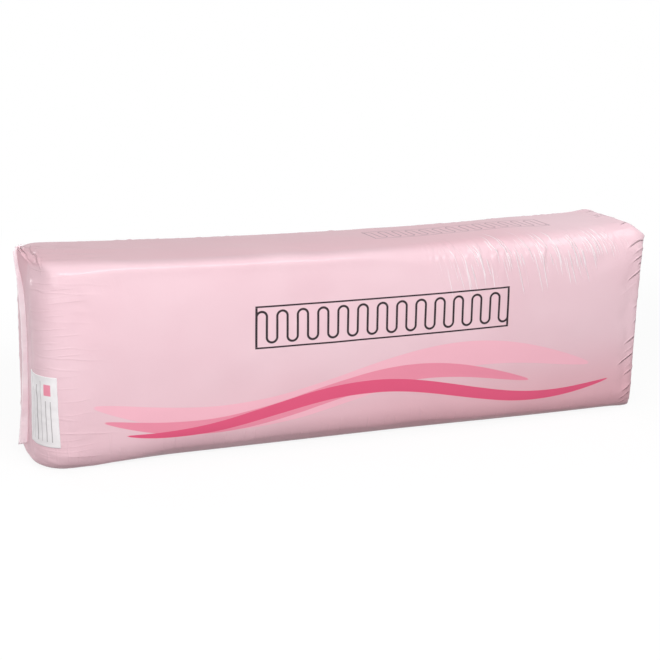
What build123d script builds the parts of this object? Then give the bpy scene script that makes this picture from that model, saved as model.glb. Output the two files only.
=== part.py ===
"""A bag of fiberglass batts, standing on its long narrow side.

Eight batts, each folded once end to end, are squeezed face to face into a stack and held in a
film bag. The bag is a tube of film, pinched at each end into an upright sealed fin. One blank
paper label is stuck over the lower front corner of the left end.

Millimetres. +X runs along the bag, the front face looks towards -Y and +Z is up. The origin is
in the middle of the face that the bag stands on.
"""

import os
from math import cos, pi, sin

from build123d import *

# Batts
BATT_WIDTH = 381.0
BATT_LENGTH = 2362.0
BATT_COUNT = 8
LAYER_THICKNESS = 13.8
LAYER_GAP = 0.4

# Bag film
FILM_THICKNESS = 0.8
FILM_CLEARANCE = 0.4
FACE_CROWN = 7.0
TOP_CROWN = 4.0
FACE_SWELL = 5.0
TOP_SAG = 13.0
LEFT_SLUMP = 10.0
BACK_EDGE_RADIUS = 28.0
FRONT_EDGE_RADIUS_LEFT = 26.0
FRONT_EDGE_RADIUS_RIGHT = 58.0
BASE_EDGE_RADIUS = 64.0

# Pinched ends, the left one pulled rounder than the right one
END_POCKET = 28.0
LEFT_ROUND = 60.0
RIGHT_ROUND = 28.0
END_DROP = 14.0
FIN_WIDTH = 18.0
FIN_BOW = 12.0
FIN_TOP_MARGIN = 6.0
FIN_BASE_MARGIN = 24.0
FIN_CORNER_RADIUS = 4.0

# Label, measured across its bent corner
LABEL_WIDTH = 76.0
LABEL_HEIGHT = 130.0
LABEL_THICKNESS = 0.25
LABEL_GLUE = 0.05
LABEL_BASE_HEIGHT = 47.0
LABEL_TURN = 58.0

# Cross-sections drawn along the bag's body and round each end
BODY_STEPS = 6
END_STEPS = 7

# Sizes that follow from those above
LAYER_PITCH = LAYER_THICKNESS + LAYER_GAP
LAYER_COUNT = 2 * BATT_COUNT
STACK_DEPTH = LAYER_COUNT * LAYER_PITCH - LAYER_GAP
FOLDED_LENGTH = BATT_LENGTH / 2
WRAP = FILM_THICKNESS + FILM_CLEARANCE
BAG_LENGTH = FOLDED_LENGTH + 2 * END_POCKET
BAG_DEPTH = STACK_DEPTH + 2 * WRAP
BAG_HEIGHT = BATT_WIDTH + 2 * WRAP


def cross_section(x, tuck, drop, inset):
    """The outline across the bag at x: four crowned sides, with softer corners where it stands.

    The front top edge grows rounder towards the right. tuck and drop are how far the film is
    drawn in towards the fin, in depth and in height.
    """
    share = 1 / 2 + x / BAG_LENGTH
    bow = 1 - (2 * x / BAG_LENGTH) ** 2
    slump = LEFT_SLUMP * (1 - share)
    outer_half = BAG_DEPTH / 2 + FACE_SWELL * bow - tuck
    half_depth = outer_half - inset
    low = drop + inset
    high = BAG_HEIGHT - TOP_SAG * bow - slump - drop - inset
    middle = (low + high) / 2
    front_radius = FRONT_EDGE_RADIUS_LEFT + (FRONT_EDGE_RADIUS_RIGHT - FRONT_EDGE_RADIUS_LEFT) * share**2
    base_radius = BASE_EDGE_RADIUS * outer_half / (BAG_DEPTH / 2)
    corners = (
        (-half_depth, high, front_radius),
        (half_depth, high, BACK_EDGE_RADIUS),
        (-half_depth, low, base_radius),
        (half_depth, low, base_radius),
    )
    with BuildSketch(Plane.YZ.offset(x)) as outline:
        with BuildLine():
            ThreePointArc((-half_depth, low), (0, low - TOP_CROWN), (half_depth, low))
            ThreePointArc((half_depth, low), (half_depth + FACE_CROWN, middle), (half_depth, high))
            ThreePointArc((half_depth, high), (0, high + TOP_CROWN), (-half_depth, high))
            ThreePointArc((-half_depth, high), (-half_depth - FACE_CROWN, middle), (-half_depth, low))
        make_face()
        for across, up, radius in corners:
            fillet(outline.vertices().sort_by_distance((across, up))[0], radius - inset)
    return outline.sketch


def end_stations(round_size, inset):
    """Cross-section places round one end, from its shoulder out to its tip."""
    shoulder = BAG_LENGTH / 2 - inset - round_size
    places = []
    for step in range(END_STEPS + 1):
        turn = pi / 2 * step / END_STEPS
        drawn_in = 1 - cos(turn)
        places.append((shoulder + round_size * sin(turn), round_size * drawn_in, END_DROP * drawn_in))
    return places


def bag_form(inset):
    """The bag's outer form with every surface moved in by inset, cut flat where it stands."""
    right = end_stations(RIGHT_ROUND, inset)
    left = [(-x, tuck, drop) for x, tuck, drop in reversed(end_stations(LEFT_ROUND, inset))]
    start = left[-1][0]
    stride = (right[0][0] - start) / BODY_STEPS
    body = [(start + stride * step, 0, 0) for step in range(1, BODY_STEPS)]
    sections = [cross_section(x, tuck, drop, inset) for x, tuck, drop in left + body + right]
    return split(loft(sections, ruled=True), Plane.XY.offset(inset), keep=Keep.TOP)


def seal_fin(round_size):
    """The sealed strip of doubled film that stands out of the right end, upright in the middle."""
    root = BAG_LENGTH / 2 - round_size
    tip = BAG_LENGTH / 2 + FIN_WIDTH
    low = FIN_BASE_MARGIN
    high = BAG_HEIGHT - FIN_TOP_MARGIN
    with BuildSketch(Plane.XZ) as strip:
        with BuildLine():
            ThreePointArc((tip, low), (tip - FIN_BOW, (low + high) / 2), (tip, high))
            Polyline((tip, high), (root, high), (root, low), (tip, low))
        make_face()
        fillet(strip.vertices().sort_by(Axis.X)[-2:], FIN_CORNER_RADIUS)
    return extrude(strip.sketch, FILM_THICKNESS, both=True)


def bag_film():
    """The closed film bag with its two end fins."""
    fins = seal_fin(RIGHT_ROUND) + mirror(seal_fin(LEFT_ROUND), about=Plane.YZ)
    return bag_form(0) + fins - bag_form(FILM_THICKNESS)


def folded_batt(number, core):
    """One batt folded end to end, squeezed to the shape of the stack it lies in."""
    fold_side = 1 if number % 2 == 0 else -1
    front = -STACK_DEPTH / 2 + 2 * number * LAYER_PITCH
    fold_line = front + LAYER_THICKNESS
    back = fold_line + LAYER_PITCH
    if number == 0:
        front = -BAG_DEPTH
    if number == BATT_COUNT - 1:
        back = BAG_DEPTH
    slab = Pos(0, (front + back) / 2, BAG_HEIGHT / 2) * Box(FOLDED_LENGTH, back - front, 2 * BAG_HEIGHT)
    slit = Pos(-fold_side * LAYER_THICKNESS, fold_line + LAYER_GAP / 2, BAG_HEIGHT / 2) * Box(
        FOLDED_LENGTH, LAYER_GAP, 2 * BAG_HEIGHT
    )
    return (slab & core) - slit


def label():
    """The blank label, bent round the front corner of the left end."""
    skin = bag_form(-LABEL_GLUE - LABEL_THICKNESS) - bag_form(-LABEL_GLUE)
    corner = Pos(
        -BAG_LENGTH / 2 + LEFT_ROUND,
        -BAG_DEPTH / 2 + LEFT_ROUND,
        LABEL_BASE_HEIGHT + LABEL_HEIGHT / 2,
    )
    reach = Pos(0, -LEFT_ROUND, 0) * Box(LABEL_WIDTH, 2 * LEFT_ROUND, LABEL_HEIGHT)
    return skin & (corner * Rot(0, 0, -LABEL_TURN) * reach)


def main():
    os.makedirs("parts", exist_ok=True)
    export_step(bag_film(), "parts/bag_film.step")
    core = bag_form(WRAP)
    for number in range(BATT_COUNT):
        export_step(folded_batt(number, core), f"parts/batt_{number + 1}.step")
    export_step(label(), "parts/label.step")


main()
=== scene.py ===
from math import cos, pi, radians, sin, sqrt

import bmesh
import bpy
import numpy as np
from mathutils import Matrix, Vector
from mathutils.bvhtree import BVHTree


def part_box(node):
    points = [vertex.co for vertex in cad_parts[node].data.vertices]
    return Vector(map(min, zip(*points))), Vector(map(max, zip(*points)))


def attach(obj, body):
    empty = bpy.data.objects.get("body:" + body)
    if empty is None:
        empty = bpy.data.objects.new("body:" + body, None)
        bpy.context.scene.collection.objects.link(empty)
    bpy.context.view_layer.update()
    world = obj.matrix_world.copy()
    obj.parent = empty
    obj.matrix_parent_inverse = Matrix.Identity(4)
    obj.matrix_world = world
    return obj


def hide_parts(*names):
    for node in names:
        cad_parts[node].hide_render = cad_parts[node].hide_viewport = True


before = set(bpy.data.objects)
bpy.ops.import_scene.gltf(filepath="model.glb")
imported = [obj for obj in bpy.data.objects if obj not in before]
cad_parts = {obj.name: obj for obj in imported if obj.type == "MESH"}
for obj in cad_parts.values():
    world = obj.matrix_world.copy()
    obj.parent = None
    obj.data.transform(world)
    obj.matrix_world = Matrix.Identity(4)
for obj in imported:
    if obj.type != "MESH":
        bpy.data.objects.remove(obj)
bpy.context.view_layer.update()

_, film_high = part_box("bag_film")
BATT_NODES = [f"batt_{number}" for number in range(1, 9)]

# Bag form, in metres
FIN_REACH = 0.018
FACE_CROWN = 0.007
FACE_SWELL = 0.005
TOP_CROWN = 0.004
TOP_SAG = 0.013
LEFT_SLUMP = 0.010
LEFT_ROUND = 0.060
RIGHT_ROUND = 0.028
END_DROP = 0.014
BACK_EDGE_RADIUS = 0.026
FRONT_EDGE_LEFT = 0.024
FRONT_EDGE_RIGHT = 0.056
FRONT_EDGE_CRISP = 0.014
CRISP_FROM = (-0.56, -0.45)
CRISP_TO = (-0.05, 0.15)
BASE_EDGE_RADIUS = 0.064
BASE_CROWN = 0.004
FIRM_LEFT = 0.35
FIRM_LEFT_TO = (-0.6, -0.35)
FIRM_RIGHT = 0.22
FIRM_RIGHT_FROM = (0.0, 0.5)
PROUD = 0.0010
HALF_LENGTH = film_high.x - FIN_REACH
HALF_DEPTH = film_high.y - FACE_CROWN - FACE_SWELL
HEIGHT = 0.3834
DEPTH = 2 * HALF_DEPTH

# Places on the film laid flat: run along the bag, girth up the front and over
LEFT_ARC = LEFT_ROUND * pi / 2
RIGHT_ARC = RIGHT_ROUND * pi / 2
FLAT_LENGTH = 2 * HALF_LENGTH - LEFT_ROUND - RIGHT_ROUND + LEFT_ARC + RIGHT_ARC
TOP_FRONT = HEIGHT
TOP_BACK = HEIGHT + DEPTH
BASE_BACK = 2 * HEIGHT + DEPTH

# Ends pulled out to their fins
LEFT_PULL = LEFT_ARC * 1.3
RIGHT_PULL = RIGHT_ARC * 1.6
PULL_SPREAD = 0.7 * HALF_DEPTH
TENT_REACH = 0.004
WAIST_TUCK = 0.007
PEAK_REACH = 0.010
PEAK_FALL = 0.039
PEAK_CURVE = 1.15
PEAK_FROM = (HEIGHT - 0.080, HEIGHT - 0.015)
RIGHT_PINCH = 0.010
RIGHT_BASE_DROP = 0.3
CORNER_SLOPE = 0.006
SLOPE_ALONG = (HALF_LENGTH - 0.024, HALF_LENGTH - 0.006)
SLOPE_FORWARD = (-0.06, HALF_DEPTH - 0.02)
SLOPE_UP = (0.80, 0.97)
BACK_CORNERS = (
    ((1, 1, 1), (0.005, 0.003, 0.004), 0.045),
    ((-1, 1, 1), (-0.002, 0.003, 0.002), 0.045),
)
EARS = (
    ((0.6250, -0.093, 0.3655), 0.015),
    ((0.6205, 0.088, 0.3740), 0.014),
    ((0.6195, -0.089, 0.0010), 0.015),
    ((0.6195, 0.089, 0.0010), 0.015),
)

# Film grid
LENGTH_CELLS = 188
DEPTH_CELLS = 22
HEIGHT_CELLS = 34
EDGE_TIGHTEN = 0.4
ON_EDGE = 1e-6
TINY = 1e-9

# Stuffing the bag, its base and its fin lines held
HELD_BASE = 0.004
HELD_END = 0.03
HELD_FIN = 0.012
STUFFING_PRESSURE = 4.0
STUFFING_FRAMES = 20
STUFFING_CAP = 0.003

# Film against the batts
LYING = (0.002, 0.02)
DRIFTS = ((0.0011, 0.30, 3), (0.0006, 0.11, 4))
BATT_CLEARANCE = 0.0010
PROBE_DEPTH = 0.008
PROBE_STEP = 0.00002
FACING_OUT = 0.2
PUSH_RINGS = 14
PUSH_STEP = 0.00015
DENT_LIMIT = 0.0013

# Fin
FIN_BASE = 0.024
FIN_TOP = {-1: 0.3895, 1: 0.3615}
FIN_TOP_ROUND = 0.016
FIN_BOW = 0.012
FIN_ROOT = 0.004
FIN_THICKNESS = 0.0012
FIN_TURN = radians(7)
FIN_RIPPLE = 0.0012
FIN_CELLS = (10, 110)
FIN_PROBE = 0.1

# Label
LABEL_WIDTH = 0.076
LABEL_HEIGHT = 0.130
LABEL_BASE = 0.047
LABEL_TURN = radians(58)
LABEL_LIFT = 0.0006
LABEL_THICKNESS = 0.00025
LABEL_CELLS = (36, 56)
LABEL_PROBE = 0.2

# Creases in the film
CREASE_SEED = 7
CREASE_FADE = 1.5
HOLLOW_DEPTH = 0.45
HOLLOW_WIDTH = 2.2
UPRIGHT = (radians(78), radians(100))
LEVEL = (radians(-14), radians(14))
DRAWN_BACK = (radians(62), radians(80))
SLANTING = (radians(-60), radians(60))
MIDDLE_RUN = FLAT_LENGTH / 2
LONG_EDGE = (LEFT_ARC, FLAT_LENGTH - 0.05)
LEFT_TURN = (0.02, LEFT_ARC + 0.03)
RIGHT_TURN = (FLAT_LENGTH - 0.055, FLAT_LENGTH - 0.005)
LEFT_END = (-0.055, 0.03)
RIGHT_END = (FLAT_LENGTH - 0.02, FLAT_LENGTH + 0.08)
FRONT_EDGE_BAND = (TOP_FRONT - 0.030, TOP_FRONT + 0.022)
BACK_EDGE_BAND = (TOP_BACK - 0.030, TOP_BACK + 0.022)
FRONT_BASE_BAND = (0.004, 0.034)
BACK_BASE_BAND = (BASE_BACK - 0.034, BASE_BACK - 0.004)
FRONT_SIDE = (0.02, HEIGHT - 0.03)
BACK_SIDE = (TOP_BACK + 0.03, BASE_BACK - 0.02)
TOP_BAND = (TOP_FRONT + 0.01, TOP_BACK - 0.01)
# Each patch: how many, then the low and high value of run, girth, length, width, height and turn
CREASE_PATCHES = (
    # Gathers over the top front edge, close together on its right half
    (58, (MIDDLE_RUN + 0.12, FLAT_LENGTH - 0.07), FRONT_EDGE_BAND,
     (0.03, 0.085), (0.0036, 0.0055), (0.0016, 0.0034), UPRIGHT),
    (16, (LEFT_ARC, MIDDLE_RUN + 0.12), FRONT_EDGE_BAND,
     (0.02, 0.05), (0.004, 0.007), (0.0004, 0.0010), UPRIGHT),
    (7, (MIDDLE_RUN + 0.02, FLAT_LENGTH - 0.15), (TOP_FRONT - 0.12, TOP_FRONT - 0.05),
     (0.07, 0.14), (0.006, 0.011), (0.0005, 0.0010), UPRIGHT),
    # The other long edges
    (56, LONG_EDGE, BACK_EDGE_BAND, (0.03, 0.08), (0.0038, 0.006), (0.0006, 0.0018), UPRIGHT),
    (30, LONG_EDGE, FRONT_BASE_BAND, (0.02, 0.05), (0.004, 0.006), (0.0005, 0.0013), UPRIGHT),
    (30, LONG_EDGE, BACK_BASE_BAND, (0.02, 0.05), (0.004, 0.006), (0.0005, 0.0013), UPRIGHT),
    # Gathers round the upright edges of both ends
    (26, LEFT_TURN, FRONT_SIDE, (0.04, 0.10), (0.0035, 0.006), (0.0005, 0.0014), LEVEL),
    (26, RIGHT_TURN, FRONT_SIDE, (0.025, 0.055), (0.0035, 0.005), (0.0007, 0.0018), LEVEL),
    (26, LEFT_TURN, BACK_SIDE, (0.04, 0.10), (0.0035, 0.006), (0.0005, 0.0014), LEVEL),
    (26, RIGHT_TURN, BACK_SIDE, (0.025, 0.055), (0.0035, 0.005), (0.0007, 0.0018), LEVEL),
    # Gathers over the ends of the top
    (18, (0.01, LEFT_ARC + 0.05), TOP_BAND, (0.04, 0.11), (0.004, 0.007), (0.0006, 0.0016), LEVEL),
    (18, (FLAT_LENGTH - 0.08, FLAT_LENGTH), TOP_BAND,
     (0.04, 0.10), (0.004, 0.007), (0.0006, 0.0016), LEVEL),
    # Gathers drawn back from the top of the left fin
    (9, (0.015, 0.085), (TOP_FRONT + 0.05, TOP_BACK - 0.03),
     (0.08, 0.16), (0.0035, 0.0055), (0.0026, 0.0046), DRAWN_BACK),
    # Slack on the top
    (14, (0.15, FLAT_LENGTH - 0.1), (TOP_FRONT + 0.03, TOP_BACK - 0.03),
     (0.05, 0.16), (0.006, 0.012), (0.0004, 0.0009), SLANTING),
    # Pleats drawn in to the fins
    (30, LEFT_END, (0.0, HEIGHT), (0.05, 0.11), (0.004, 0.008), (0.0006, 0.0018), LEVEL),
    (30, LEFT_END, (TOP_BACK, BASE_BACK), (0.05, 0.11), (0.004, 0.008), (0.0006, 0.0018), LEVEL),
    (30, RIGHT_END, (0.0, HEIGHT), (0.05, 0.11), (0.004, 0.008), (0.0006, 0.0018), LEVEL),
    (30, RIGHT_END, (TOP_BACK, BASE_BACK), (0.05, 0.11), (0.004, 0.008), (0.0006, 0.0018), LEVEL),
)

# Studio
WORLD_FILL = 0.34
FLOOR_HALF = 60.0
FLOOR_TONE = (0.40, 0.37, 0.38)
FLOOR_WHITE = 0.88
FLOOR_NEAR = 0.75
FLOOR_FAR = 2.2
# Each lamp: its name, place, target, size and power
LAMPS = (
    ("front_softbox", (-0.16, -1.60, 1.38), (-0.05, -0.1, 0.25), (2.1, 0.3), 28.0),
    ("left_fill", (-2.1, -1.4, 0.65), (-0.6, 0.0, 0.18), (1.4, 1.4), 16.0),
    ("right_top_fill", (0.95, -0.25, 1.10), (0.60, 0.0, 0.37), (0.5, 0.3), 2.4),
    ("back_softbox", (-1.2, 2.2, 0.6), (0.0, 0.1, 0.2), (1.8, 0.9), 33.0),
)

# Camera, set to the photograph's view
IMAGE_SIDE = 660
FOCUS = 1360.0
VIEW_TARGET = Vector((0.0, 0.0, 0.190))
VIEW_DISTANCE = 2.661
VIEW_AZIMUTH = radians(-23.711)
VIEW_ELEVATION = radians(14.481)
VIEW_ROLL = radians(1.652)
VIEW_SHIFT = (14.157, -1.245)

draw = np.random.default_rng(CREASE_SEED)


def smooth(value, start, end):
    """0 before start, 1 after end, eased between."""
    t = np.clip((value - start) / (end - start), 0.0, 1.0)
    return t * t * (3 - 2 * t)


def read_points(mesh):
    points = np.empty(len(mesh.vertices) * 3)
    mesh.vertices.foreach_get("co", points)
    return points.reshape(-1, 3)


def write_points(mesh, points):
    mesh.vertices.foreach_set("co", points.ravel())
    mesh.update()


def read_normals(mesh):
    normals = np.empty(len(mesh.vertices) * 3)
    mesh.vertices.foreach_get("normal", normals)
    return normals.reshape(-1, 3)


def shade_smooth(mesh):
    mesh.polygons.foreach_set("use_smooth", [True] * len(mesh.polygons))
    mesh.update()


def add_object(name, bm):
    mesh = bpy.data.meshes.new(name)
    bm.to_mesh(mesh)
    bm.free()
    obj = bpy.data.objects.new(name, mesh)
    bpy.context.collection.objects.link(obj)
    shade_smooth(mesh)
    return obj


def apply_modifiers(obj):
    """Keep the mesh that the modifiers give, and take the modifiers off."""
    depsgraph = bpy.context.evaluated_depsgraph_get()
    shown = obj.evaluated_get(depsgraph)
    mesh = bpy.data.meshes.new_from_object(shown, preserve_all_data_layers=True, depsgraph=depsgraph)
    obj.modifiers.clear()
    old = obj.data
    obj.data = mesh
    mesh.name = obj.name
    bpy.data.meshes.remove(old)


# Film bag

def box_grid():
    """A unit box, its faces cut into the film's grid of quads."""
    bm = bmesh.new()
    bmesh.ops.create_cube(bm, size=1.0)
    for axis, cells in enumerate((LENGTH_CELLS, DEPTH_CELLS, HEIGHT_CELLS)):
        edges = []
        for edge in bm.edges:
            span = edge.verts[0].co - edge.verts[1].co
            if abs(span[axis]) > 0.5:
                edges.append(edge)
        bmesh.ops.subdivide_edges(bm, edges=edges, cuts=cells - 1, use_grid_fill=True)
    return bm


def closer_at_edges(t):
    """Grid places from 0 to 1, set closer together towards both edges."""
    return t - EDGE_TIGHTEN * np.sin(2 * pi * t) / (2 * pi)


def end_profile(run):
    """Place along the bag, tuck in depth, drop of the top and lift of the base, by flat length."""
    left = np.clip(run / LEFT_ARC, 0, 1) * pi / 2
    right = np.clip((FLAT_LENGTH - run) / RIGHT_ARC, 0, 1) * pi / 2
    straight = np.clip(run - LEFT_ARC, 0, FLAT_LENGTH - LEFT_ARC - RIGHT_ARC)
    x = -HALF_LENGTH + LEFT_ROUND * (1 - np.cos(left)) + straight + RIGHT_ROUND * np.cos(right)
    tuck = LEFT_ROUND * (1 - np.sin(left)) + RIGHT_ROUND * (1 - np.sin(right))
    drop = END_DROP * (2 - np.sin(left) - np.sin(right))
    lift = END_DROP * (1 - np.sin(left) + RIGHT_BASE_DROP * (1 - np.sin(right)))
    return x, tuck, drop, lift


def girth_place(across, up):
    """Flat place round the film from the front base edge, for a point of the box's outline.

    across and up run from -1 to 1.
    """
    front = (up + 1) / 2 * HEIGHT
    top = TOP_FRONT + (across + 1) / 2 * DEPTH
    back = TOP_BACK + (1 - up) / 2 * HEIGHT
    base_front = -(across + 1) / 2 * DEPTH
    base_back = BASE_BACK + (1 - across) / 2 * DEPTH
    base = np.where(across < 0.001, base_front, base_back)
    side = np.where(across < 0, front, back)
    level = np.where(up > 0, top, base)
    return np.where(np.abs(across) >= np.abs(up) - ON_EDGE, side, level)


def edge_radii(x, across, half):
    """Radius of the long edges, top and base. The top front one is crisp left of the middle."""
    firm = FIRM_RIGHT * smooth(x, *FIRM_RIGHT_FROM) + FIRM_LEFT * (1 - smooth(x, *FIRM_LEFT_TO))
    base_radius = BASE_EDGE_RADIUS * (1 - firm) * half / HALF_DEPTH
    crisp = smooth(x, *CRISP_FROM) * (1 - smooth(x, *CRISP_TO))
    rightward = (0.5 + x / HALF_LENGTH / 2) ** 2
    front_radius = FRONT_EDGE_LEFT + (FRONT_EDGE_RIGHT - FRONT_EDGE_LEFT) * rightward
    front_radius = front_radius + (FRONT_EDGE_CRISP - front_radius) * crisp
    return np.where(across < 0, front_radius, BACK_EDGE_RADIUS), base_radius


def shape_bag(grid):
    """Bend the box grid to the bag's form. Gives the points and their places on the flat film."""
    along, across, up = (grid + 0.5).T
    across = 2 * closer_at_edges(across) - 1
    up = 2 * closer_at_edges(up) - 1
    run = along * FLAT_LENGTH
    x, tuck, drop, lift = end_profile(run)
    bow = 1 - (x / HALF_LENGTH) ** 2
    half = HALF_DEPTH + FACE_SWELL * bow - tuck + PROUD
    low = lift - BASE_CROWN
    high = HEIGHT - TOP_SAG * bow - LEFT_SLUMP * (0.5 - x / HALF_LENGTH / 2) - drop + PROUD
    middle = (low + high) / 2

    ring = np.maximum(np.maximum(np.abs(across), np.abs(up)), ON_EDGE)
    edge_y = across / ring * half
    edge_z = middle + up / ring * (high - low) / 2
    top_radius, base_radius = edge_radii(x, across, half)
    radius = np.where(edge_z > middle, top_radius, base_radius)
    core_y = np.clip(edge_y, -half + radius, half - radius)
    core_z = np.clip(edge_z, low + radius, high - radius)
    gap = np.hypot(edge_y - core_y, edge_z - core_z)
    pull = np.where(gap > TINY, radius / np.maximum(gap, TINY), 0)
    edge_y = core_y + (edge_y - core_y) * pull
    edge_z = core_z + (edge_z - core_z) * pull
    y = edge_y * ring
    z = middle + (edge_z - middle) * ring

    share = (z - low) / (high - low)
    y = y * (half + FACE_CROWN * (1 - (2 * share - 1) ** 2)) / half
    z = z + TOP_CROWN * (1 - np.clip(y / half, -1, 1) ** 2) * share

    inside = (1 - ring) * half
    run = np.where(along > 1 - ON_EDGE, FLAT_LENGTH + inside, run)
    run = np.where(along < ON_EDGE, -inside, run)
    girth = girth_place(across / ring, up / ring)
    return np.stack((x, y, z), 1), np.stack((run, girth, share), 1)


def pull_ends(points, flat):
    """Draw the ends out to their fins, to a peak at the left top, and the right corners out to ears."""
    x, y, z = points.T
    run, _, share = flat.T
    left = 1 - smooth(run, 0.0, LEFT_PULL)
    right = 1 - smooth(FLAT_LENGTH - run, 0.0, RIGHT_PULL)
    spread = np.clip(1 - np.abs(y) / PULL_SPREAD, 0, 1)
    waist = np.clip(1 - (2 * share - 1) ** 2, 0, 1)
    x = x + (TENT_REACH - WAIST_TUCK * waist) * spread * (right - left)
    x = x - RIGHT_PINCH * waist * (1 - smooth(FLAT_LENGTH - run, 0.0, RIGHT_ARC))
    peak = smooth(z, *PEAK_FROM)
    chamfer = -HALF_LENGTH - PEAK_REACH + PEAK_FALL * (np.abs(y) / HALF_DEPTH) ** PEAK_CURVE
    x = x + (chamfer - x) * peak * left
    z = z + END_DROP * peak * spread * left
    outer = smooth(x, *SLOPE_ALONG)
    forward = smooth(-y, *SLOPE_FORWARD)
    z = z - CORNER_SLOPE * outer * forward * smooth(share, *SLOPE_UP)
    points = np.stack((x, y, z), 1)
    for corner, reach, span in BACK_CORNERS:
        away = np.linalg.norm(points - np.array(corner) * (HALF_LENGTH, HALF_DEPTH, HEIGHT), axis=1)
        points = points + np.exp(-((away / span) ** 2))[:, None] * reach
    for tip, span in EARS:
        nearest = points[np.argmin(np.linalg.norm(points - tip, axis=1))]
        away = np.linalg.norm(points - nearest, axis=1)
        points = points + np.exp(-away / span)[:, None] * (np.array(tip) - nearest)
    return points


def waves(points, size, seed, count=24):
    """A smooth uneven field over the points, about -1 to 1, with bumps of about the given size."""
    wave_draw = np.random.default_rng(seed)
    field = np.zeros(len(points))
    for _ in range(count):
        direction = wave_draw.normal(size=3)
        direction /= np.linalg.norm(direction)
        stretch = wave_draw.uniform(0.6, 1.5) * 2 * pi / size
        field += np.cos(points @ direction * stretch + wave_draw.uniform(0, 2 * pi))
    return field / np.sqrt(count)


def stuff_bag(bag):
    """Swell the film with pressure, the base and the fin lines held. Moves inward are dropped so it doesn't
    sink, and each move is capped.
    """
    before = read_points(bag.data)
    held = bag.vertex_groups.new(name="held")
    for index, (x, y, z) in enumerate(before):
        if z < HELD_BASE or (abs(x) > HALF_LENGTH - HELD_END and abs(y) < HELD_FIN):
            held.add([index], 1.0, "REPLACE")
    cloth = bag.modifiers.new("stuffing", "CLOTH")
    settings = cloth.settings
    settings.quality = 6
    settings.mass = 0.2
    settings.tension_stiffness = 25
    settings.compression_stiffness = 4
    settings.shear_stiffness = 6
    settings.bending_stiffness = 0.05
    settings.use_pressure = True
    settings.uniform_pressure_force = STUFFING_PRESSURE
    settings.vertex_group_mass = held.name
    settings.effector_weights.gravity = 0
    cloth.point_cache.frame_start = 1
    cloth.point_cache.frame_end = STUFFING_FRAMES
    scene = bpy.context.scene
    for number in range(1, STUFFING_FRAMES + 1):
        scene.frame_set(number)
    apply_modifiers(bag)
    scene.frame_set(1)
    bag.vertex_groups.clear()
    move = read_points(bag.data) - before
    write_points(bag.data, before)
    outward = read_normals(bag.data)
    sunk = np.minimum(0, np.sum(move * outward, axis=1, keepdims=True))
    move = move - outward * sunk
    reach = np.linalg.norm(move, axis=1, keepdims=True)
    write_points(bag.data, before + move * np.minimum(1, STUFFING_CAP / np.maximum(reach, TINY)))


class Creases:
    """Creases in the film, each a narrow ridge with a hollow along both sides."""

    def __init__(self, flat):
        self.run = flat[:, 0]
        self.girth = flat[:, 1]
        self.height = np.zeros(len(flat))

    def add(self, run, girth, length, width, height, turn):
        """One crease. turn is its direction from the bag's length, up the film's girth."""
        near = np.abs(self.run - run) + np.abs(self.girth - girth) < length + 6 * width
        along_run = self.run[near] - run
        along_girth = self.girth[near] - girth
        t = (along_run * cos(turn) + along_girth * sin(turn)) / (length / 2)
        d = (along_girth * cos(turn) - along_run * sin(turn)) / width
        fade = np.clip(1 - t * t, 0, 1) ** CREASE_FADE
        ridge = np.exp(-(d**2)) - HOLLOW_DEPTH * np.exp(-((d / HOLLOW_WIDTH) ** 2))
        self.height[near] += height * fade * ridge

    def scatter(self, count, run, girth, length, width, height, turn):
        """Creases strewn over a patch. Each value after the count is a low and a high one."""
        for _ in range(count):
            self.add(*(draw.uniform(*span) for span in (run, girth, length, width, height, turn)))


def crease_film(flat):
    """The height of all the creases at each point of the film."""
    creases = Creases(flat)
    for patch in CREASE_PATCHES:
        creases.scatter(*patch)
    return creases.height


def batt_surface():
    """One search tree of all the CAD batts' faces."""
    points = []
    faces = []
    for name in BATT_NODES:
        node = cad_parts[name]
        start = len(points)
        points.extend(node.matrix_world @ vertex.co for vertex in node.data.vertices)
        faces.extend([start + index for index in face.vertices] for face in node.data.polygons)
    return BVHTree.FromPolygons(points, faces)


def batt_top(tree, point, outward):
    """The outermost face of the batts along a line through the film, or None."""
    top = None
    start = point - outward * PROBE_DEPTH
    reach = 2 * PROBE_DEPTH
    while reach > 0:
        place, facing, _, far = tree.ray_cast(start, outward, reach)
        if place is None:
            break
        if facing.dot(outward) > FACING_OUT:
            top = place
        start = place + outward * PROBE_STEP
        reach -= far + PROBE_STEP
    return top


def keep_off_batts(mesh, points, normals):
    """Lift the film off the batts wherever it has sunk in, easing the lift out round each place."""
    tree = batt_surface()
    push = np.zeros(len(points))
    for index, normal in enumerate(normals):
        point = Vector(points[index])
        outward = Vector(normal)
        top = batt_top(tree, point, outward)
        if top is not None:
            push[index] = max(0.0, BATT_CLEARANCE - (point - top).dot(outward))
    ends = np.empty(len(mesh.edges) * 2, dtype=np.int32)
    mesh.edges.foreach_get("vertices", ends)
    first, second = ends.reshape(-1, 2).T
    for _ in range(PUSH_RINGS):
        eased = push.copy()
        np.maximum.at(eased, first, push[second] - PUSH_STEP)
        np.maximum.at(eased, second, push[first] - PUSH_STEP)
        push = eased
    return points + normals * push[:, None]


def lift_film(mesh, flat):
    """Raise the creases and the slow drift on the film, off the batts and no lower than the floor."""
    points = read_points(mesh)
    normals = read_normals(mesh)
    lying = 1 - smooth(points[:, 2], *LYING)
    drift = sum(height * waves(points, size, seed) for height, size, seed in DRIFTS)
    lift = crease_film(flat) + drift
    lift = np.where(lift < 0, DENT_LIMIT * np.tanh(lift / DENT_LIMIT), lift) * (1 - lying)
    points = keep_off_batts(mesh, points + normals * lift[:, None], normals)
    points[:, 2] = np.maximum(points[:, 2], 0.0)
    write_points(mesh, points)


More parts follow.
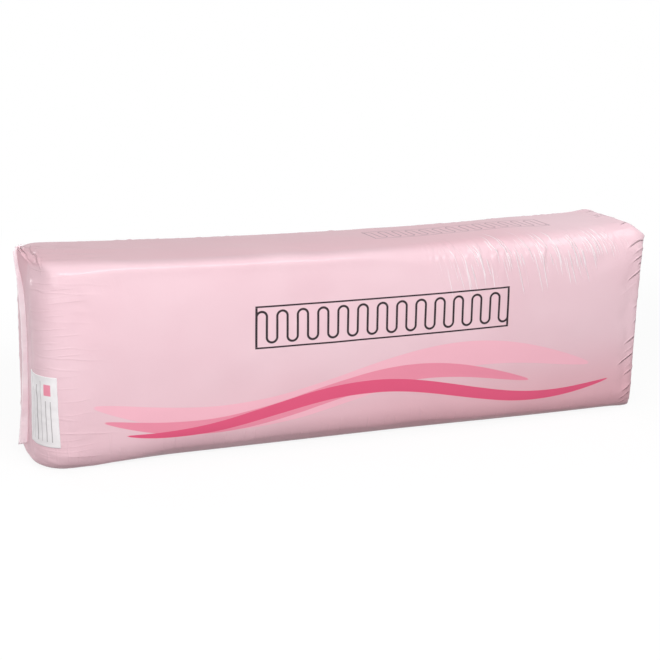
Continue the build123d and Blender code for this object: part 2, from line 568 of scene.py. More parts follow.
def lay_flat(mesh, flat):
    """A UV map of the film laid flat, its run measured from the bag's middle."""
    uv = mesh.uv_layers.new(name="film_flat")
    corners = np.empty(len(mesh.loops), dtype=np.int32)
    mesh.loops.foreach_get("vertex_index", corners)
    laid = flat[:, :2].copy()
    laid[:, 0] -= FLAT_LENGTH / 2
    uv.data.foreach_set("uv", laid[corners].ravel())


def make_bag():
    bag = add_object("film_bag", box_grid())
    points, flat = shape_bag(read_points(bag.data))
    write_points(bag.data, pull_ends(points, flat))
    places = bag.data.attributes.new("film_place", "FLOAT_VECTOR", "POINT")
    places.data.foreach_set("vector", flat.ravel())
    stuff_bag(bag)
    refine = bag.modifiers.new("refine", "SUBSURF")
    refine.levels = refine.render_levels = 1
    apply_modifiers(bag)
    mesh = bag.data
    flat = np.empty(len(mesh.vertices) * 3)
    mesh.attributes["film_place"].data.foreach_get("vector", flat)
    flat = flat.reshape(-1, 3)
    lift_film(mesh, flat)
    lay_flat(mesh, flat)
    shade_smooth(mesh)
    return bag


def surface_of(obj):
    return BVHTree.FromObject(obj, bpy.context.evaluated_depsgraph_get())


def make_fin(name, side, bag_tree):
    """The sealed strip of doubled film at one end. side is -1 for the left end."""
    bm = bmesh.new()
    bmesh.ops.create_grid(bm, x_segments=FIN_CELLS[0], y_segments=FIN_CELLS[1], size=0.5)
    top = FIN_TOP[side]
    for vertex in bm.verts:
        out = vertex.co.x + 0.5
        share = vertex.co.y + 0.5
        z = FIN_BASE + share * (top - FIN_BASE)
        start = Vector((side * (HALF_LENGTH + FIN_PROBE), 0, z))
        place, _, _, _ = bag_tree.ray_cast(start, Vector((-side, 0, 0)))
        root = abs(place.x) if place else HALF_LENGTH
        root -= FIN_ROOT
        tip = HALF_LENGTH + FIN_REACH - FIN_BOW * (1 - (2 * share - 1) ** 2)
        near_top = max(0.0, 1 - (top - z) / FIN_TOP_ROUND)
        tip -= FIN_TOP_ROUND * (1 - sqrt(1 - near_top**2))
        width = tip - root
        turn = FIN_TURN * out * (0.75 + 0.25 * sin(9 * share + side))
        ripple = FIN_RIPPLE * out * (sin(31 * share + 2 * side) + 0.6 * sin(67 * share + side))
        vertex.co.x = side * (root + width * out * cos(turn * 0.6))
        vertex.co.y = -width * out * sin(turn) + ripple
        vertex.co.z = z
    bmesh.ops.recalc_face_normals(bm, faces=bm.faces)
    fin = add_object(name, bm)
    wall = fin.modifiers.new("doubled_film", "SOLIDIFY")
    wall.thickness = FIN_THICKNESS
    wall.offset = 0
    apply_modifiers(fin)
    shade_smooth(fin.data)
    return fin


def make_label(bag_tree):
    """The paper label, laid over the film's lower left front corner."""
    outward = Vector((-sin(LABEL_TURN), -cos(LABEL_TURN), 0))
    sideways = Vector((cos(LABEL_TURN), -sin(LABEL_TURN), 0))
    corner = Vector((-HALF_LENGTH + LEFT_ROUND, -HALF_DEPTH + LEFT_ROUND, 0))
    bm = bmesh.new()
    bmesh.ops.create_grid(bm, x_segments=LABEL_CELLS[0], y_segments=LABEL_CELLS[1], size=0.5)
    loop_uv = bm.loops.layers.uv.new("label_flat")
    for face in bm.faces:
        for loop in face.loops:
            loop[loop_uv].uv = (
                loop.vert.co.x * LABEL_WIDTH,
                loop.vert.co.y * LABEL_HEIGHT,
            )
    for vertex in bm.verts:
        across = vertex.co.x * LABEL_WIDTH
        z = LABEL_BASE + (vertex.co.y + 0.5) * LABEL_HEIGHT
        start = corner + sideways * across + outward * LABEL_PROBE
        start.z = z
        place, normal, _, _ = bag_tree.ray_cast(start, -outward)
        vertex.co = place + normal * LABEL_LIFT
    bmesh.ops.recalc_face_normals(bm, faces=bm.faces)
    label = add_object("paper_label", bm)
    soften = label.modifiers.new("soften", "SMOOTH")
    soften.iterations = 2
    paper = label.modifiers.new("paper", "SOLIDIFY")
    paper.thickness = LABEL_THICKNESS
    paper.offset = 1
    apply_modifiers(label)
    shade_smooth(label.data)
    return label


# Materials

def colour(red, green, blue):
    """A colour as a screen shows it, from 0 to 255, as Blender's linear one."""
    parts = []
    for value in (red, green, blue):
        value /= 255
        parts.append(value / 12.92 if value <= 0.04045 else ((value + 0.055) / 1.055) ** 2.4)
    return (*parts, 1.0)


class Graph:
    """Short ways to add nodes to one tree."""

    def __init__(self, tree):
        self.tree = tree

    def node(self, kind, inputs=None, **settings):
        made = self.tree.nodes.new(kind)
        for name, value in settings.items():
            setattr(made, name, value)
        for name, value in (inputs or {}).items():
            self.put(made.inputs[name], value)
        return made

    def put(self, socket, value):
        if isinstance(value, bpy.types.NodeSocket):
            self.tree.links.new(value, socket)
        else:
            socket.default_value = value

    def math(self, operation, first, second=0.0, clamp=False):
        made = self.node("ShaderNodeMath", operation=operation, use_clamp=clamp)
        for socket, value in zip(made.inputs, (first, second)):
            self.put(socket, value)
        return made.outputs[0]

    def blend(self, share, first, second):
        made = self.node("ShaderNodeMix", data_type="RGBA")
        self.put(made.inputs[0], share)
        self.put(made.inputs[6], first)
        self.put(made.inputs[7], second)
        return made.outputs[2]

    def span(self, value, start, end, low=0.0, high=1.0):
        made = self.node("ShaderNodeMapRange", interpolation_type="SMOOTHSTEP")
        for socket, number in zip(made.inputs, (value, start, end, low, high)):
            self.put(socket, number)
        return made.outputs[0]

    def noise(self, vector, scale, detail, roughness=0.5):
        made = self.node(
            "ShaderNodeTexNoise",
            {"Vector": vector, "Scale": scale, "Detail": detail, "Roughness": roughness},
        )
        return made.outputs["Fac"]

    def stretch(self, vector, scale):
        made = self.node("ShaderNodeMapping", {"Vector": vector, "Scale": scale})
        return made.outputs[0]

    def group(self, tree, values):
        """A node group placed with its values. Gives its outputs."""
        return self.node("ShaderNodeGroup", values, node_tree=tree).outputs


def new_material(name):
    material = bpy.data.materials.new(name)
    material.use_nodes = True
    tree = material.node_tree
    tree.nodes.clear()
    graph = Graph(tree)
    shader = graph.node("ShaderNodeBsdfPrincipled")
    out = graph.node("ShaderNodeOutputMaterial")
    tree.links.new(shader.outputs[0], out.inputs[0])
    return material, graph, shader


def new_group(name, inputs, outputs):
    """A shader node group. Its sockets are plain values, apart from a place."""
    tree = bpy.data.node_groups.new(name, "ShaderNodeTree")
    for label in inputs:
        kind = "NodeSocketVector" if label == "Place" else "NodeSocketFloat"
        tree.interface.new_socket(label, in_out="INPUT", socket_type=kind)
    for label in outputs:
        tree.interface.new_socket(label, in_out="OUTPUT", socket_type="NodeSocketFloat")
    graph = Graph(tree)
    return graph, graph.node("NodeGroupInput").outputs, graph.node("NodeGroupOutput").inputs


PRINT_EDGE = 0.0007


def crinkle_group():
    """Fine crinkles of thin film, as a height, and a slow drift of tone."""
    graph, given, out = new_group("film_crinkle", ("Place", "Scale"), ("Height", "Drift"))
    scaled = graph.node("ShaderNodeVectorMath", {0: given["Place"]}, operation="SCALE")
    graph.put(scaled.inputs["Scale"], given["Scale"])
    place = scaled.outputs[0]
    broad = graph.noise(place, 6.0, 2.0)
    fold = graph.noise(place, 22.0, 3.0, 0.55)
    ridge = graph.math("ABSOLUTE", graph.math("SUBTRACT", fold, 0.5))
    ridge = graph.math("SUBTRACT", 1.0, graph.math("MULTIPLY", ridge, 4.0), clamp=True)
    fine = graph.noise(place, 60.0, 2.0)
    height = graph.math("MULTIPLY", ridge, 0.35)
    height = graph.math("ADD", height, graph.math("MULTIPLY", fine, 0.12))
    graph.put(out["Height"], graph.math("ADD", height, graph.math("MULTIPLY", broad, 0.8)))
    graph.put(out["Drift"], broad)
    return graph.tree


def gather_group():
    """Thin creases drawn across an edge, one to a cell along it, as a height."""
    graph, given, out = new_group(
        "edge_gathers",
        ("Along", "Across", "Cell", "Width", "Reach", "Lean", "Shift"),
        ("Height",),
    )
    across = given["Across"]
    bent = graph.node("ShaderNodeCombineXYZ", {0: given["Along"], 1: across, 2: given["Shift"]}).outputs[0]
    bend = graph.math("SUBTRACT", graph.noise(bent, 22.0, 1.0), 0.5)
    along = graph.math("ADD", given["Along"], graph.math("MULTIPLY", across, given["Lean"]))
    along = graph.math("DIVIDE", along, given["Cell"])
    along = graph.math("ADD", along, graph.math("MULTIPLY", bend, 0.25))
    cell = graph.math("FLOOR", along)
    seed = graph.node("ShaderNodeCombineXYZ", {0: cell, 1: given["Shift"]}).outputs[0]
    chance = graph.node("ShaderNodeTexWhiteNoise", {"Vector": seed}, noise_dimensions="3D")
    pick = graph.node("ShaderNodeSeparateColor", {0: chance.outputs["Color"]})
    middle = graph.math("ADD", graph.math("MULTIPLY", pick.outputs[0], 0.4), 0.3)
    away = graph.math("ABSOLUTE", graph.math("SUBTRACT", graph.math("FRACT", along), middle))
    away = graph.math("DIVIDE", graph.math("MULTIPLY", away, given["Cell"]), given["Width"])
    ridge = graph.math("POWER", graph.math("SUBTRACT", 1.0, away, clamp=True), 1.4)
    centre = graph.math("MULTIPLY", graph.math("SUBTRACT", pick.outputs[1], 0.5), given["Reach"])
    half = graph.math("ADD", graph.math("MULTIPLY", pick.outputs[2], 0.55), 0.25)
    half = graph.math("MULTIPLY", half, given["Reach"])
    far = graph.math("DIVIDE", graph.math("ABSOLUTE", graph.math("SUBTRACT", across, centre)), half)
    fade = graph.span(far, 0.35, 1.0, 1.0, 0.0)
    height = graph.math("MULTIPLY", ridge, fade)
    graph.put(out["Height"], graph.math("MULTIPLY", height, graph.span(chance.outputs["Value"], 0.0, 0.8)))
    return graph.tree


def ribbon_group():
    """A waving ribbon printed along the film: 1 on the ribbon."""
    graph, given, out = new_group(
        "wave_ribbon",
        ("Run", "Girth", "Middle", "Swing", "Length", "Shift", "Width", "Start", "End"),
        ("Mask",),
    )
    phase = graph.math("ADD", graph.math("DIVIDE", given["Run"], given["Length"]), given["Shift"])
    swing = graph.math("MULTIPLY", graph.math("SINE", graph.math("MULTIPLY", phase, 2 * pi)), given["Swing"])
    middle = graph.math("ADD", given["Middle"], swing)
    away = graph.math("ABSOLUTE", graph.math("SUBTRACT", given["Girth"], middle))
    share = graph.math(
        "DIVIDE",
        graph.math("SUBTRACT", given["Run"], given["Start"]),
        graph.math("SUBTRACT", given["End"], given["Start"]),
    )
    hump = graph.math("MULTIPLY", graph.math("MULTIPLY", share, graph.math("SUBTRACT", 1.0, share)), 4.0)
    half = graph.math("MULTIPLY", given["Width"], graph.math("POWER", graph.math("MAXIMUM", hump, 0.0), 0.6))
    mask = graph.span(graph.math("SUBTRACT", half, away), -PRINT_EDGE, PRINT_EDGE)
    graph.put(out["Mask"], graph.math("MULTIPLY", mask, graph.span(hump, 0.0, 0.03)))
    return graph.tree


def loop_group():
    """A line of tall upright loops printed along the film: 1 on the line."""
    graph, given, out = new_group(
        "loop_line",
        ("Run", "Girth", "Middle", "Reach", "Pitch", "Stroke", "Start", "End"),
        ("Mask",),
    )
    run = graph.math("SUBTRACT", given["Run"], given["Start"])
    quarter = graph.math("MULTIPLY", given["Pitch"], 0.25)
    half_pitch = graph.math("MULTIPLY", given["Pitch"], 0.5)
    up = graph.math("SUBTRACT", given["Girth"], given["Middle"])
    post = graph.math("PINGPONG", run, quarter)
    reach = given["Reach"]
    past_top = graph.math("SUBTRACT", up, reach)
    past_base = graph.math("SUBTRACT", graph.math("MULTIPLY", up, -1.0), reach)

    def bend(past, shift):
        turned = graph.math("FLOORED_MODULO", graph.math("ADD", run, shift), given["Pitch"])
        local = graph.math("SUBTRACT", turned, half_pitch)
        squared = graph.math("ADD", graph.math("POWER", local, 2.0), graph.math("POWER", past, 2.0))
        far = graph.math("SQRT", squared)
        return graph.math("ABSOLUTE", graph.math("SUBTRACT", far, quarter))

    at_top = graph.math("GREATER_THAN", past_top, 0.0)
    at_base = graph.math("GREATER_THAN", past_base, 0.0)
    away = graph.node("ShaderNodeMix", {0: at_top, 2: post, 3: bend(past_top, quarter)}).outputs[0]
    three_quarters = graph.math("MULTIPLY", quarter, 3.0)
    away = graph.node("ShaderNodeMix", {0: at_base, 2: away, 3: bend(past_base, three_quarters)}).outputs[0]
    line = graph.span(graph.math("SUBTRACT", given["Stroke"], away), -PRINT_EDGE * 0.6, PRINT_EDGE * 0.6)
    inside = graph.math("GREATER_THAN", run, graph.math("MULTIPLY", given["Stroke"], -1.0))
    length = graph.math("SUBTRACT", graph.math("ADD", given["End"], given["Stroke"]), given["Run"])
    inside = graph.math("MULTIPLY", inside, graph.math("GREATER_THAN", length, 0.0))
    near = graph.math("LESS_THAN", graph.math("ABSOLUTE", up), graph.math("ADD", reach, half_pitch))
    graph.put(out["Mask"], graph.math("MULTIPLY", graph.math("MULTIPLY", line, inside), near))
    return graph.tree


def bar_group():
    """A plain printed bar: 1 inside its four edges."""
    graph, given, out = new_group(
        "printed_bar", ("Run", "Girth", "Left", "Right", "Low", "High"), ("Mask",)
    )
    mask = None
    for low, high in (
        (given["Left"], given["Run"]),
        (given["Run"], given["Right"]),
        (given["Low"], given["Girth"]),
        (given["Girth"], given["High"]),
    ):
        step = graph.span(graph.math("SUBTRACT", high, low), -PRINT_EDGE * 0.5, PRINT_EDGE * 0.5)
        mask = step if mask is None else graph.math("MULTIPLY", mask, step)
    graph.put(out["Mask"], mask)
    return graph.tree


# Colours of the film, inks, paper and wool
FILM_PINK = colour(235, 203, 211)
FILM_DEEP = colour(226, 186, 196)
# Painted shade for the film's foot and top
FILM_PAINTED_SHADE = colour(228, 180, 189)
# Painted highlight on the ridges of the gathers over the top front edge
FILM_PAINTED_HIGHLIGHT = colour(253, 242, 246)
SEAL_PALE = colour(254, 246, 248)
SEAL_DEEP = colour(250, 234, 239)
INK_PINK = colour(226, 92, 128)
INK_ROSE = colour(236, 146, 168)
INK_PALE = colour(244, 186, 200)
INK_DARK = colour(58, 48, 52)
INK_FAINT = colour(186, 154, 164)
INK_GREY = colour(168, 164, 166)
PAPER_WHITE = colour(242, 240, 241)
PAPER_DULL = colour(234, 232, 233)
WOOL_PINK = colour(247, 196, 208)
WOOL_DEEP = colour(236, 158, 178)
WOOL_STRAND = colour(253, 226, 232)

# Parts of a noise's range, from the low tone to the high one
NOISE_MIDDLE = (0.3, 0.7)
NOISE_WIDE = (0.25, 0.75)

# Painted shade: the film's pink darker towards its foot, more so to the right, and on its top
SHADE_FOOT = (0.03, 0.19)
SHADE_ALONG = (-0.60, 0.45)
SHADE_LEFT = 0.15
SHADE_TOP = 0.5
SHADE_TOP_EDGE = (DEPTH / 2 - 0.035, DEPTH / 2 - 0.005)
SHADE_TOP_END = (0.25, 0.50)
# Finishes
FILM_DRIFT = 0.35
FILM_ROUGHNESS = (0.30, 0.40)
FILM_COAT = 0.35
FILM_COAT_ROUGHNESS = 0.18
SEAL_ROUGHNESS = (0.32, 0.42)
SEAL_COAT_ROUGHNESS = 0.2
# Painted highlight: how far the gathers' height pales the film towards white
HIGHLIGHT_SPAN = (0.10, 0.60)
HIGHLIGHT_MOST = 0.75
PAPER_ROUGHNESS = (0.45, 0.6)
WOOL_ROUGHNESS = 0.9

# Lines on the film laid flat, their run measured from its middle
LEFT_LINE = -FLAT_LENGTH / 2
RIGHT_LINE = FLAT_LENGTH / 2
TOP_MIDDLE = TOP_FRONT + DEPTH / 2
OFF_LEFT_END = (LEFT_LINE - 0.02, LEFT_LINE)

# Fine gathers: the lines they lie across, and where the masked ones start and end
TOP_FRONT_LINE = TOP_FRONT - 0.026
BASE_FRONT_LINE = 0.03
BASE_BACK_LINE = BASE_BACK - 0.03
LEFT_END_LINE = LEFT_LINE + 0.06
RIGHT_END_LINE = RIGHT_LINE - 0.030
RIGHT_HALF_FROM = (0.10, 0.26)
RIGHT_HALF_TO = (0.50, 0.58)
LEFT_HALF_SHARE = 0.03
RIGHT_TIP_SHARE = 0.25
LEFT_FIN_TO = (LEFT_LINE + 0.02, LEFT_LINE + 0.12)
LEFT_FIN_WEIGHT = 2.5
# Each row of gathers: its line, cell, width, reach, lean, shift and weight, None where a mask weighs it
GATHERS = (
    ("top_front", 0.0072, 0.0019, 0.064, 0.30, 1.0, None),
    ("top_front", 0.0110, 0.0021, 0.080, 0.26, 2.0, None),
    ("top_front", 0.0190, 0.0024, 0.110, 0.22, 10.0, None),
    ("top_back", 0.0140, 0.0028, 0.055, 0.04, 3.0, 0.6),
    ("base_front", 0.0190, 0.0030, 0.045, 0.10, 4.0, 0.5),
    ("base_back", 0.0190, 0.0030, 0.045, -0.10, 5.0, 0.5),
    ("left_end", 0.0120, 0.0024, 0.075, -0.10, 6.0, 0.30),
    ("left_end", 0.0230, 0.0032, 0.110, 0.06, 7.0, 0.35),
    ("right_end", 0.0170, 0.0036, 0.044, -0.55, 8.0, 2.6),
    ("left_fin", 0.0110, 0.0028, 0.150, -0.22, 9.0, None),
)

# Print: each ribbon's ink, middle, swing, wave length, shift, half width, start and end
RIBBONS = (
    (INK_PALE, 0.125, 0.040, 0.98, 0.02, 0.030, -0.52, 0.50),
    (INK_ROSE, 0.105, 0.034, 0.86, 0.12, 0.018, -0.50, 0.36),
    (INK_PINK, 0.090, 0.028, 0.78, 0.24, 0.013, -0.46, 0.55),
)
# Each row of loops: its ink, middle, reach, pitch, stroke, start and end
FACE_LOOPS = (INK_DARK, 0.255, 0.020, 0.040, 0.0022, -0.22, 0.30)
TOP_LOOPS = (INK_FAINT, TOP_FRONT + 0.125, 0.018, 0.030, 0.0015, 0.06, 0.45)
# Each rule on the label: its ink, left, right, low and high edge
LABEL_RULES = (
    (INK_GREY, -0.0285, -0.0275, -0.055, 0.055),
    (INK_GREY, -0.0185, -0.0175, -0.055, 0.040),
    (INK_GREY, -0.0085, -0.0060, -0.055, 0.046),
    (INK_GREY, 0.0035, 0.0045, -0.055, 0.055),
    (INK_ROSE, 0.0120, 0.0260, 0.030, 0.050),
    (INK_GREY, 0.0140, 0.0155, -0.055, 0.020),
    (INK_GREY, 0.0240, 0.0255, -0.055, 0.020),
)


def painted_film_shade(graph, place, run, girth, off_end):
    """How much painted shade darkens the film's pink, towards its foot and on its top."""
    above_floor = graph.node("ShaderNodeSeparateXYZ", {0: place}).outputs[2]
    foot = graph.span(above_floor, *SHADE_FOOT, 1.0, 0.0)
    foot = graph.math("MULTIPLY", foot, graph.span(run, *SHADE_ALONG, SHADE_LEFT, 1.0))
    off_top = graph.math("ABSOLUTE", graph.math("SUBTRACT", girth, TOP_MIDDLE))
    top = graph.span(off_top, *SHADE_TOP_EDGE, SHADE_TOP, 0.0)
    top = graph.math("MULTIPLY", top, graph.span(run, *SHADE_TOP_END, 1.0, 0.0))
    top = graph.math("MULTIPLY", top, off_end)
    return graph.math("MAXIMUM", foot, top)


def film_gathers(graph, gather, run, girth, off_end):
    """The height of all the fine gathers, and of those over the top front edge, whose ridges carry a painted
    highlight.
    """
    right_half = graph.span(run, *RIGHT_HALF_FROM, LEFT_HALF_SHARE, 1.0)
    right_half = graph.math("MULTIPLY", right_half, graph.span(run, *RIGHT_HALF_TO, 1.0, RIGHT_TIP_SHARE))
    by_left_fin = graph.span(run, *LEFT_FIN_TO, LEFT_FIN_WEIGHT, 0.0)
    by_left_fin = graph.math("MULTIPLY", by_left_fin, off_end)
    masks = {"top_front": right_half, "left_fin": by_left_fin}
    lines = {
        "top_front": (run, graph.math("SUBTRACT", girth, TOP_FRONT_LINE)),
        "top_back": (run, graph.math("SUBTRACT", girth, TOP_BACK)),
        "base_front": (run, graph.math("SUBTRACT", girth, BASE_FRONT_LINE)),
        "base_back": (run, graph.math("SUBTRACT", girth, BASE_BACK_LINE)),
        "left_end": (girth, graph.math("SUBTRACT", run, LEFT_END_LINE)),
        "right_end": (girth, graph.math("SUBTRACT", run, RIGHT_END_LINE)),
        "left_fin": (run, graph.math("SUBTRACT", girth, TOP_MIDDLE)),
    }
    gathers = None
    painted_highlight = None
    for line, cell, width, reach, lean, shift, weight in GATHERS:
        along, across = lines[line]
        height = graph.group(gather, {
            "Along": along, "Across": across, "Cell": cell, "Width": width, "Reach": reach,
            "Lean": lean, "Shift": shift,
        })["Height"]
        height = graph.math("MULTIPLY", height, masks.get(line, weight))
        gathers = height if gathers is None else graph.math("ADD", gathers, height)
        # The top front gathers also give the painted highlight on their ridges
        if line == "top_front":
            painted_highlight = height if painted_highlight is None else graph.math("ADD", painted_highlight, height)
    return gathers, painted_highlight


def print_bar(graph, printed, bar, across, up, ink, edges):
    """A plain bar printed over what is there. edges are its left, right, low and high one."""
    left, right, low, high = edges
    mask = graph.group(bar, {
        "Run": across, "Girth": up, "Left": left, "Right": right, "Low": low, "High": high,
    })["Mask"]
    return graph.blend(mask, printed, ink)


def print_loops(graph, printed, loops, bar, across, up, row):
    """A framed row of loops printed over what is there."""
    ink, middle, reach, pitch, stroke, start, end = row
    mask = graph.group(loops, {
        "Run": across, "Girth": up, "Middle": middle, "Reach": reach, "Pitch": pitch,
        "Stroke": stroke, "Start": start, "End": end,
    })["Mask"]
    printed = graph.blend(mask, printed, ink)
    edge = reach + pitch * 0.45
    outer = edge + 1.5 * stroke
    for edges in (
        (start - stroke, end + stroke, middle + edge, middle + outer),
        (start - stroke, end + stroke, middle - outer, middle - edge),
        (start - stroke, start + stroke, middle - edge, middle + edge),
        (end - stroke, end + stroke, middle - edge, middle + edge),
    ):
        printed = print_bar(graph, printed, bar, across, up, ink, edges)
    return printed


def film_print(graph, tint, ribbon, loops, bar, run, girth):
    """The ribbons and loops on the front, the same on the back, and a row of loops on the top."""
    on_back = graph.math("GREATER_THAN", girth, TOP_MIDDLE)
    turned = graph.math("SUBTRACT", 1.0, graph.math("MULTIPLY", on_back, 2.0))
    face_run = graph.math("MULTIPLY", run, turned)
    face_girth = graph.math("MINIMUM", girth, graph.math("SUBTRACT", BASE_BACK, girth))
    printed = tint
    for ink, middle, swing, length, shift, width, start, end in RIBBONS:
        mask = graph.group(ribbon, {
            "Run": face_run, "Girth": face_girth, "Middle": middle, "Swing": swing, "Length": length,
            "Shift": shift, "Width": width, "Start": start, "End": end,
        })["Mask"]
        printed = graph.blend(mask, printed, ink)
    printed = print_loops(graph, printed, loops, bar, face_run, face_girth, FACE_LOOPS)
    return print_loops(graph, printed, loops, bar, run, girth, TOP_LOOPS)


def film_material(crinkle, gather, ribbon, loops, bar):
    material, graph, shader = new_material("pink_film")
    place = graph.node("ShaderNodeTexCoord").outputs["Object"]
    flat = graph.node("ShaderNodeUVMap", uv_map="film_flat").outputs[0]
    split = graph.node("ShaderNodeSeparateXYZ", {0: flat})
    run, girth = split.outputs[0], split.outputs[1]
    off_end = graph.span(run, *OFF_LEFT_END)
    film = graph.group(crinkle, {"Place": place, "Scale": 1.0})
    gathers, painted_highlight = film_gathers(graph, gather, run, girth, off_end)

    tint = graph.blend(graph.span(film["Drift"], *NOISE_MIDDLE, 0.0, FILM_DRIFT), FILM_PINK, FILM_DEEP)
    # Painted shade: the pink darker towards the foot and on the top
    tint = graph.blend(painted_film_shade(graph, place, run, girth, off_end), tint, FILM_PAINTED_SHADE)
    # Painted highlight: paler film on the ridges of the top front gathers
    tint = graph.blend(graph.span(painted_highlight, *HIGHLIGHT_SPAN, 0.0, HIGHLIGHT_MOST), tint, FILM_PAINTED_HIGHLIGHT)
    graph.put(shader.inputs["Base Color"], film_print(graph, tint, ribbon, loops, bar, run, girth))
    graph.put(shader.inputs["Roughness"], graph.span(film["Drift"], *NOISE_WIDE, *FILM_ROUGHNESS))
    shader.inputs["Specular IOR Level"].default_value = 0.0
    shader.inputs["Coat Weight"].default_value = FILM_COAT
    shader.inputs["Coat Roughness"].default_value = FILM_COAT_ROUGHNESS
    bump = graph.node("ShaderNodeBump", {"Height": film["Height"], "Strength": 0.25, "Distance": 0.002})
    pleats = graph.node(
        "ShaderNodeBump",
        {"Height": gathers, "Strength": 1.0, "Distance": 0.0012, "Normal": bump.outputs[0]},
    )
    graph.put(shader.inputs["Normal"], pleats.outputs[0])
    return material


def seal_material(crinkle):
    """Doubled film with no wool behind it, welded in fine level ribs."""
    material, graph, shader = new_material("sealed_film")
    place = graph.node("ShaderNodeTexCoord").outputs["Object"]
    film = graph.group(crinkle, {"Place": place, "Scale": 2.0})
    tone = graph.blend(graph.span(film["Drift"], *NOISE_MIDDLE), SEAL_PALE, SEAL_DEEP)
    graph.put(shader.inputs["Base Color"], tone)
    graph.put(shader.inputs["Roughness"], graph.span(film["Drift"], *NOISE_WIDE, *SEAL_ROUGHNESS))
    shader.inputs["Specular IOR Level"].default_value = 0.0
    shader.inputs["Coat Weight"].default_value = FILM_COAT
    shader.inputs["Coat Roughness"].default_value = SEAL_COAT_ROUGHNESS
    ribs = graph.noise(graph.stretch(place, (30.0, 30.0, 420.0)), 1.0, 2.0)
    height = graph.math("ADD", film["Height"], graph.math("MULTIPLY", ribs, 0.6))
    bump = graph.node("ShaderNodeBump", {"Height": height, "Strength": 0.5, "Distance": 0.0016})
    graph.put(shader.inputs["Normal"], bump.outputs[0])
    return material


def label_material(bar):
    material, graph, shader = new_material("label_paper")
    place = graph.node("ShaderNodeTexCoord").outputs["Object"]
    fibre = graph.noise(place, 900.0, 3.0)
    cloud = graph.noise(place, 30.0, 2.0)
    tone = graph.blend(graph.span(cloud, *NOISE_MIDDLE), PAPER_WHITE, PAPER_DULL)
    flat = graph.node("ShaderNodeUVMap", uv_map="label_flat").outputs[0]
    split = graph.node("ShaderNodeSeparateXYZ", {0: flat})
    across, up = split.outputs[0], split.outputs[1]
    for ink, *edges in LABEL_RULES:
        tone = print_bar(graph, tone, bar, across, up, ink, edges)
    graph.put(shader.inputs["Base Color"], tone)
    graph.put(shader.inputs["Roughness"], graph.span(fibre, *NOISE_MIDDLE, *PAPER_ROUGHNESS))
    bump = graph.node("ShaderNodeBump", {"Height": fibre, "Strength": 0.08, "Distance": 0.0004})
    graph.put(shader.inputs["Normal"], bump.outputs[0])
    return material


def wool_material():
    material, graph, shader = new_material("pink_glass_wool")
    place = graph.node("ShaderNodeTexCoord").outputs["Object"]
    strands = graph.noise(graph.stretch(place, (40.0, 260.0, 160.0)), 1.0, 6.0, 0.7)
    clump = graph.noise(place, 35.0, 4.0)
    tone = graph.blend(graph.span(clump, *NOISE_MIDDLE), WOOL_PINK, WOOL_DEEP)
    tone = graph.blend(graph.span(strands, 0.45, 0.7, 0.0, 0.5), tone, WOOL_STRAND)
    graph.put(shader.inputs["Base Color"], tone)
    shader.inputs["Roughness"].default_value = WOOL_ROUGHNESS
    bump = graph.node("ShaderNodeBump", {"Height": strands, "Strength": 0.6, "Distance": 0.003})
    graph.put(shader.inputs["Normal"], bump.outputs[0])
    return material


# Studio

def make_world():
    """A white sky to look at, which lights the bag at a lower strength."""
    scene = bpy.context.scene
    scene.view_settings.view_transform = "Standard"
    world = bpy.data.worlds.new("studio")
    scene.world = world
    world.use_nodes = True
    world.node_tree.nodes.clear()
    graph = Graph(world.node_tree)
    rays = graph.node("ShaderNodeLightPath").outputs
    seen = graph.math("MAXIMUM", rays["Is Camera Ray"], rays["Is Transmission Ray"])
    seen = graph.math("MAXIMUM", seen, rays["Is Glossy Ray"])
    strength = graph.math("ADD", graph.math("MULTIPLY", seen, 1.0 - WORLD_FILL), WORLD_FILL)
    sky = graph.node("ShaderNodeBackground", {"Color": (1, 1, 1, 1), "Strength": strength})
    out = graph.node("ShaderNodeOutputWorld")
    world.node_tree.links.new(sky.outputs[0], out.inputs[0])


def make_floor():
    """A pale floor that shows almost white and keeps the bag's soft shadow."""
    bm = bmesh.new()
    bmesh.ops.create_grid(bm, x_segments=1, y_segments=1, size=FLOOR_HALF)
    floor = add_object("studio_floor", bm)
    material = bpy.data.materials.new("pale_floor")
    material.use_nodes = True
    tree = material.node_tree
    tree.nodes.clear()
    graph = Graph(tree)
    rays = graph.node("ShaderNodeLightPath").outputs
    seen = graph.math("MAXIMUM", rays["Is Camera Ray"], rays["Is Glossy Ray"])
    tone = graph.blend(rays["Is Camera Ray"], (*FLOOR_TONE, 1), (1, 1, 1, 1))
    matt = graph.node("ShaderNodeBsdfDiffuse", {"Color": tone})
    white = graph.node("ShaderNodeEmission", {"Color": (1, 1, 1, 1), "Strength": 1.0})
    place = graph.node("ShaderNodeTexCoord").outputs["Object"]
    away = graph.node("ShaderNodeVectorMath", {0: place}, operation="LENGTH").outputs["Value"]
    share = graph.math("MULTIPLY", seen, graph.span(away, FLOOR_NEAR, FLOOR_FAR, FLOOR_WHITE, 1.0))
    mixed = graph.node("ShaderNodeMixShader", {0: share, 1: matt.outputs[0], 2: white.outputs[0]})
    out = graph.node("ShaderNodeOutputMaterial")
    tree.links.new(mixed.outputs[0], out.inputs[0])
    floor.data.materials.append(material)


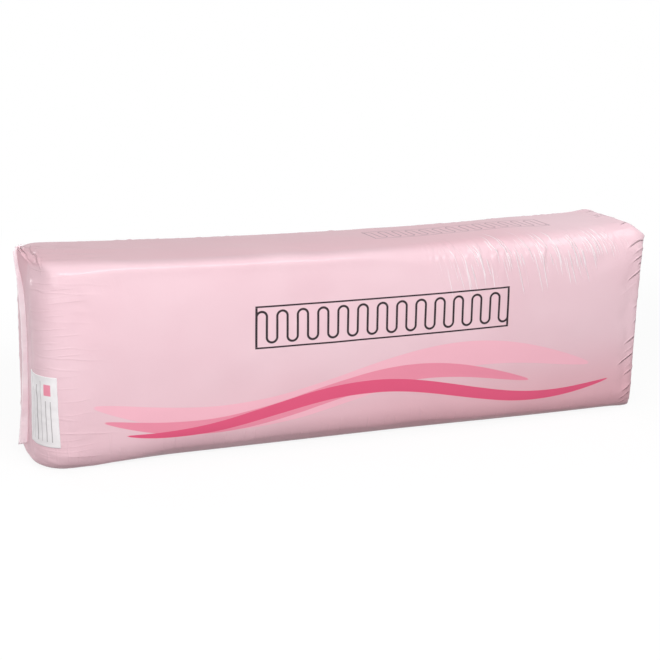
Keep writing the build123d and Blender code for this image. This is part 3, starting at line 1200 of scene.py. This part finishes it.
def make_lamps():
    for name, place, target, size, power in LAMPS:
        lamp = bpy.data.lights.new(name, "AREA")
        lamp.shape = "RECTANGLE"
        lamp.size, lamp.size_y = size
        lamp.energy = power
        obj = bpy.data.objects.new(name, lamp)
        obj.location = place
        obj.rotation_euler = (Vector(target) - Vector(place)).to_track_quat("-Z", "Y").to_euler()
        bpy.context.collection.objects.link(obj)


def make_camera():
    data = bpy.data.cameras.new("camera")
    data.sensor_width = 36.0
    data.lens = FOCUS / IMAGE_SIDE * data.sensor_width
    data.shift_x = -VIEW_SHIFT[0] / IMAGE_SIDE
    data.shift_y = VIEW_SHIFT[1] / IMAGE_SIDE
    back = Vector((
        sin(VIEW_AZIMUTH) * cos(VIEW_ELEVATION),
        -cos(VIEW_AZIMUTH) * cos(VIEW_ELEVATION),
        sin(VIEW_ELEVATION),
    ))
    right = Vector((cos(VIEW_AZIMUTH), sin(VIEW_AZIMUTH), 0.0))
    up = back.cross(right)
    across = right * cos(VIEW_ROLL) + up * sin(VIEW_ROLL)
    upward = up * cos(VIEW_ROLL) - right * sin(VIEW_ROLL)
    place = Matrix((across, upward, back)).transposed().to_4x4()
    place.translation = VIEW_TARGET + back * VIEW_DISTANCE
    camera = bpy.data.objects.new("camera", data)
    camera.matrix_world = place
    bpy.context.collection.objects.link(camera)
    bpy.context.scene.camera = camera


def main():
    bag = make_bag()
    tree = surface_of(bag)
    left_fin = make_fin("left_end_fin", -1, tree)
    right_fin = make_fin("right_end_fin", 1, tree)
    label = make_label(tree)

    crinkle = crinkle_group()
    bar = bar_group()
    film = film_material(crinkle, gather_group(), ribbon_group(), loop_group(), bar)
    seal = seal_material(crinkle)
    for piece, finish in ((bag, film), (left_fin, seal), (right_fin, seal)):
        piece.data.materials.append(finish)
        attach(piece, "root")
    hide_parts("bag_film")
    label.data.materials.append(label_material(bar))
    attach(label, "root")
    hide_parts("label")
    wool = wool_material()
    for name in BATT_NODES:
        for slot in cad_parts[name].material_slots:
            slot.material = wool

    make_world()
    make_floor()
    make_lamps()
    make_camera()


main()
